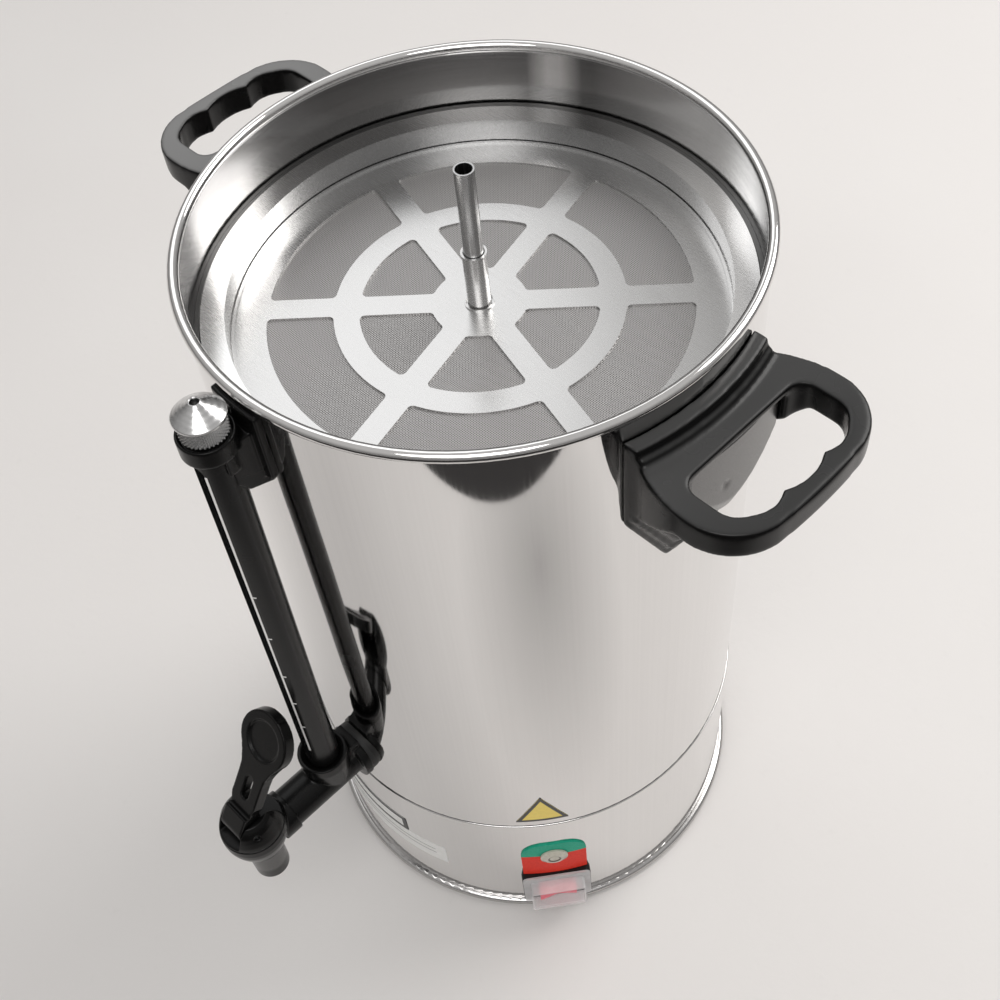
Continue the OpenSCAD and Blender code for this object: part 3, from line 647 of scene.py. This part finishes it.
def handle_shield(side):
    """The curved metal plate under a handle's inner edge, with a folded foot and one screw dimple."""
    across, tall = 56, 34
    half = 27.4 * MM
    top = 415.4 * MM
    thick = 0.7 * MM
    bend_radius = 144.3 * MM
    fold = 7 * MM                       # the height of the foot that turns in
    dimple_side, dimple_height, dimple_radius = -6 * MM, 391 * MM, 3.4 * MM
    verts, faces = [], []
    for layer in (0, 1):
        for i in range(across + 1):
            t = -half + 2 * half * i / across
            share = abs(t) / half
            # the lower edge is lowest in the middle and rises to both ends
            foot = (371.0 + 19.0 * share ** 1.6) * MM
            for j in range(tall + 1):
                z = top - (top - foot) * j / tall
                radius = bend_radius
                above_foot = z - foot
                if above_foot < fold:
                    radius -= 0.34 * (fold - above_foot)
                off = math.hypot(t - dimple_side, z - dimple_height)
                if off < dimple_radius:
                    radius -= 0.9 * MM * (0.5 + 0.5 * math.cos(math.pi * off / dimple_radius))
                radius -= layer * thick
                a = t / bend_radius
                verts.append((side * radius * math.cos(a), side * radius * math.sin(a), z))
    row = tall + 1
    count = (across + 1) * row
    for i in range(across):
        for j in range(tall):
            a = i * row + j
            faces.append((a, a + 1, a + row + 1, a + row))
            faces.append((count + a + row, count + a + row + 1, count + a + 1, count + a))
    for i in range(across):
        for a in (i * row, i * row + tall):
            face = (a, a + row, count + a + row, count + a)
            faces.append(face if a == i * row else tuple(reversed(face)))
    for j in range(tall):
        for a in (j, across * row + j):
            face = (a + 1, a, count + a, count + a + 1)
            faces.append(face if a == j else tuple(reversed(face)))
    name = "handle_shield_right" if side > 0 else "handle_shield_left"
    piece = mesh_piece(name, "urn", shield_steel)
    fill(piece, verts, faces)


def triangle_edge():
    """The dark border of the plain yellow triangle sticker."""
    r0, r1 = BODY_RADIUS + 0.1 * MM, BODY_RADIUS + 0.28 * MM
    z0, z1 = 119.6 * MM, 148.3 * MM
    inner_share = 0.78
    half = 14.5 * MM
    corners = [(-half, z0), (half, z0), (0.0, z1)]
    centre = (0.0, z0 + (z1 - z0) / 3)
    inner = [tuple(c + (p - c) * inner_share for c, p in zip(centre, corner)) for corner in corners]
    verts, faces = [], []

    def bent(tangent, height, radius):
        a = STICKER_TURN + tangent / BODY_RADIUS
        return (radius * math.cos(a), radius * math.sin(a), height)

    steps = 12
    loops = []
    for outline in (corners, inner):
        points = []
        for i in range(3):
            p, q = outline[i], outline[(i + 1) % 3]
            for k in range(steps):
                t = k / steps
                points.append((p[0] + (q[0] - p[0]) * t, p[1] + (q[1] - p[1]) * t))
        loops.append(points)
    count = 3 * steps
    for radius in (r0, r1):
        for points in loops:
            for tangent, height in points:
                verts.append(bent(tangent, height, radius))
    for k in range(count):
        j = (k + 1) % count
        outer_low, inner_low = 0, count
        outer_top, inner_top = 2 * count, 3 * count
        faces.append((outer_top + k, outer_top + j, inner_top + j, inner_top + k))
        faces.append((outer_low + j, outer_low + k, inner_low + k, inner_low + j))
        faces.append((outer_low + k, outer_low + j, outer_top + j, outer_top + k))
        faces.append((inner_low + j, inner_low + k, inner_top + k, inner_top + j))
    piece = mesh_piece("triangle_edge", "urn", dark_film)
    fill(piece, verts, faces, False)


def label_marks():
    """The dark frame of the side sticker, and two plain rules on the rating label."""
    r0, r1 = BODY_RADIUS + 0.15 * MM, BODY_RADIUS + 0.3 * MM
    left, right, bar = (math.radians(angle) for angle in (-111.6, -79.2, 1.4))
    low, high, line = 63.2 * MM, 78.4 * MM, 2.6 * MM
    blocks = [curved_box(left, right, low, low + line, r0, r1, 24),
              curved_box(left, right, high - line, high, r0, r1, 24),
              curved_box(left, left + bar, low + line, high - line, r0, r1, 2),
              curved_box(right - bar, right, low + line, high - line, r0, r1, 2)]
    verts, faces = joined(blocks)
    frame_piece = mesh_piece("sticker_frame", "urn", dark_film)
    fill(frame_piece, verts, faces, False)
    left, right = math.radians(-106), math.radians(-71)
    blocks = [curved_box(left, right, z * MM, (z + 0.5) * MM, r0, r1, 20) for z in (50.0, 55.0)]
    verts, faces = joined(blocks)
    rules = mesh_piece("label_rules", "urn", grey_film)
    fill(rules, verts, faces, False)


def seam_bead():
    """The rolled seam between the base skirt and the tank, a fine half-round ridge."""
    arc = 8
    rise = 0.75 * MM
    angles = [math.pi * i / arc for i in range(arc + 1)]
    section = [(BODY_RADIUS - 0.1 * MM + rise * math.sin(t), SEAM_HEIGHT - rise * math.cos(t))
               for t in angles]
    verts, faces = turned_ring(section, RING_STEPS)
    piece = mesh_piece("seam_bead", "urn", steel)
    fill(piece, verts, faces)


def seam_gap():
    """The dark joint line just above the seam's ridge."""
    low, high = SEAM_HEIGHT + 0.6 * MM, SEAM_HEIGHT + 1.4 * MM
    inner, outer = BODY_RADIUS - 0.1 * MM, BODY_RADIUS + 0.1 * MM
    verts, faces = curved_box(0, 2 * math.pi, low, high, inner, outer, RING_STEPS)
    gap = mesh_piece("seam_gap", "urn", dark_film)
    fill(gap, verts, faces, False)


gauge_scale()
handle_shield(1)
handle_shield(-1)
basket_ledge()
weld_seam()
knurled_cap()
triangle_edge()
label_marks()
seam_bead()
seam_gap()


# ---- floor, light and camera ----

EDGE_TOWARD = Vector((0.752, -0.659, 0.0))      # from the urn toward the table's front edge
EDGE_ALONG = Vector((0.659, 0.752, 0.0))
EDGE_DISTANCE = 0.436
FLOOR_HALF = 6.0
SHADOW_CENTRE = (0.325, -0.185)
SHADOW_RADIUS = 0.19


def stage_plane(name, centre, along, across, half_along, half_across, material):
    """A flat rectangle on the stage."""
    made = bpy.data.objects.new(name, bpy.data.meshes.new(name))
    corners = [centre + along * (a * half_along) + across * (b * half_across)
               for a, b in ((-1, -1), (1, -1), (1, 1), (-1, 1))]
    made.data.from_pydata([tuple(c) for c in corners], [], [(0, 1, 2, 3)])
    made.data.update()
    made.data.materials.append(material)
    bpy.context.scene.collection.objects.link(made)
    return made


def only_in_reflections(obj):
    """Hides a card from the camera and from every ray but the glossy ones."""
    obj.visible_camera = False
    obj.visible_diffuse = False
    obj.visible_shadow = False
    obj.visible_transmission = False


def stage():
    """The table's top, the dark room beyond its front edge, and a shadow on it."""
    up = Vector((0, 0, 1))
    across = up.cross(EDGE_ALONG)
    stage_plane("floor", Vector((0, 0, 0)), EDGE_ALONG, across, FLOOR_HALF, FLOOR_HALF, floor_surface())
    dark = Graph("beyond_the_table")
    dark.surface(Base_Color=(0.03, 0.028, 0.028, 1), Roughness=0.9)
    reach = 1.2
    centre = EDGE_TOWARD * (EDGE_DISTANCE + reach) + up * 0.002
    card = stage_plane("beyond_the_table", centre, EDGE_ALONG, EDGE_TOWARD, 3.0, reach, dark.material)
    only_in_reflections(card)
    # a soft shadow on the table in front of the urn, outside the picture
    shade = Graph("table_shadow")
    x, y, _ = shade.split()
    off_x = shade.math("SUBTRACT", x, SHADOW_CENTRE[0])
    off_y = shade.math("SUBTRACT", y, SHADOW_CENTRE[1])
    depth = shade.between(shade.radius(off_x, off_y), 0.0, SHADOW_RADIUS, 0.46, 0.0)
    shade.surface(Base_Color=(0.05, 0.05, 0.05, 1), Roughness=0.9, Specular_IOR_Level=0.0, Alpha=depth)
    half = 0.22
    soft = stage_plane("table_shadow", Vector((0.33, -0.2, 0.001)), EDGE_ALONG, across, half, half,
                       shade.material)
    only_in_reflections(soft)


def area_light(name, place, target, size, power, colour):
    """A round area light that faces a target."""
    data = bpy.data.lights.new(name, "AREA")
    data.shape = "DISK"
    data.size = size
    data.energy = power
    data.color = colour
    made = bpy.data.objects.new(name, data)
    made.location = place
    made.rotation_mode = "QUATERNION"
    made.rotation_quaternion = (Vector(target) - Vector(place)).to_track_quat("-Z", "Y")
    bpy.context.scene.collection.objects.link(made)


def sky():
    """A pale studio, brighter overhead than at the horizon."""
    world = bpy.data.worlds.new("studio")
    bpy.context.scene.world = world
    world.use_nodes = True
    tree = world.node_tree
    background = tree.nodes["Background"]
    coordinates = tree.nodes.new("ShaderNodeTexCoord")
    axes = tree.nodes.new("ShaderNodeSeparateXYZ")
    ramp = tree.nodes.new("ShaderNodeValToRGB")
    tree.links.new(coordinates.outputs["Generated"], axes.inputs[0])
    tree.links.new(axes.outputs[2], ramp.inputs[0])
    tree.links.new(ramp.outputs[0], background.inputs["Color"])
    ramp.color_ramp.elements[0].position = 0.0
    ramp.color_ramp.elements[0].color = (0.34, 0.335, 0.33, 1)
    ramp.color_ramp.elements[1].position = 0.75
    ramp.color_ramp.elements[1].color = (1.0, 0.985, 0.97, 1)
    background.inputs["Strength"].default_value = 0.54


def camera():
    """Above the front right of the urn, tilted down at it and a little rolled."""
    data = bpy.data.cameras.new("camera")
    data.sensor_width = 36.0
    data.lens = 48.1
    data.clip_start = 0.01
    data.clip_end = 50.0
    made = bpy.data.objects.new("camera", data)
    right = Vector((0.70435, 0.70582, -0.07552))
    up = Vector((-0.53262, 0.59585, 0.60106))
    back = Vector((0.46924, -0.38312, 0.79563))
    place = (0.3303, -0.2723, 0.8101)
    turn = Matrix((right, up, back)).transposed().to_4x4()
    made.matrix_world = Matrix.Translation(place) @ turn
    bpy.context.scene.collection.objects.link(made)
    bpy.context.scene.camera = made


stage()
sky()
area_light("window", (0.35, 1.5, 1.7), (0, 0, 0.2), 1.3, 22.0, (1.0, 0.985, 0.965))
area_light("fill", (-1.3, 0.5, 1.8), (0, 0, 0.2), 1.4, 5.0, (0.98, 0.99, 1.0))
area_light("front", (0.55, -0.65, 1.5), (0.1, -0.1, 0), 0.9, 6.0, (1.0, 0.99, 0.98))
camera()
bpy.context.scene.view_settings.view_transform = "Standard"
